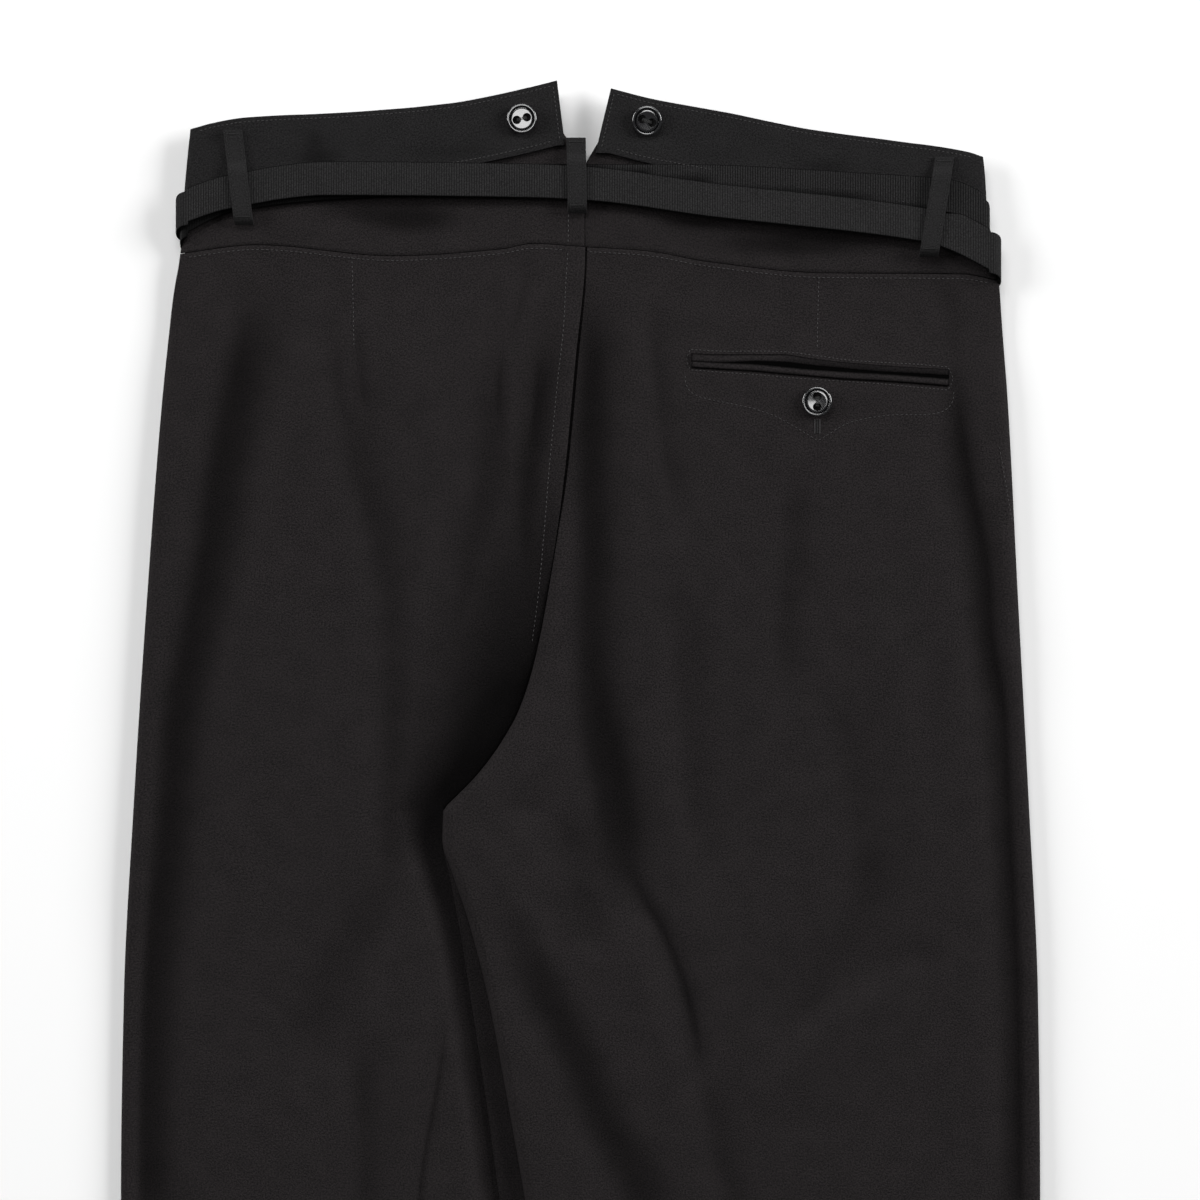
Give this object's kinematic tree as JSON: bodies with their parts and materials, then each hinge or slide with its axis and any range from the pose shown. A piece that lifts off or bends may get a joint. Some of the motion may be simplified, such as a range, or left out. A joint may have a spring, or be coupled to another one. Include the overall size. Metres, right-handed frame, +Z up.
{
  "type": "canvas trousers",
  "caption": "High-waisted canvas trousers lying flat with the back up: V-notched back waistband with brace buttons, yoke, ribbon belt in loops, and a buttoned welt pocket.",
  "frame": {"origin": "middle of the bounding box, on the surface that the trousers lie on", "axes": "+Y from the hems to the waist, +Z up out of the back of the trousers, +X to the wearer's right"},
  "size_m": [0.479, 1.114, 0.0138],
  "materials": {
    "canvas": "matte black canvas",
    "waistband": "matte black canvas",
    "belt_loop": "matte black canvas",
    "ribbon": "ribbed grosgrain",
    "button": "polished black"
  },
  "bodies": {
    "root": {"back_leg_left": "canvas", "back_leg_right": "canvas", "front_leg_left": "canvas", "front_leg_right": "canvas", "back_yoke_left": "canvas", "back_yoke_right": "canvas", "fly_flap": "canvas", "pocket_welt_upper": "canvas", "pocket_welt_lower": "canvas", "waistband_back_left": "waistband", "waistband_back_right": "waistband", "waistband_front_left": "waistband", "waistband_front_right": "waistband", "belt_loop_left": "belt_loop", "belt_loop_centre": "belt_loop", "belt_loop_right": "belt_loop", "belt_loop_front_left": "belt_loop", "belt_loop_front_right": "belt_loop", "ribbon_belt_inner_turn": "ribbon", "ribbon_belt_outer_turn": "ribbon", "brace_button_left": "button", "brace_button_right": "button", "pocket_button": "button"}
  },
  "joints": []
}
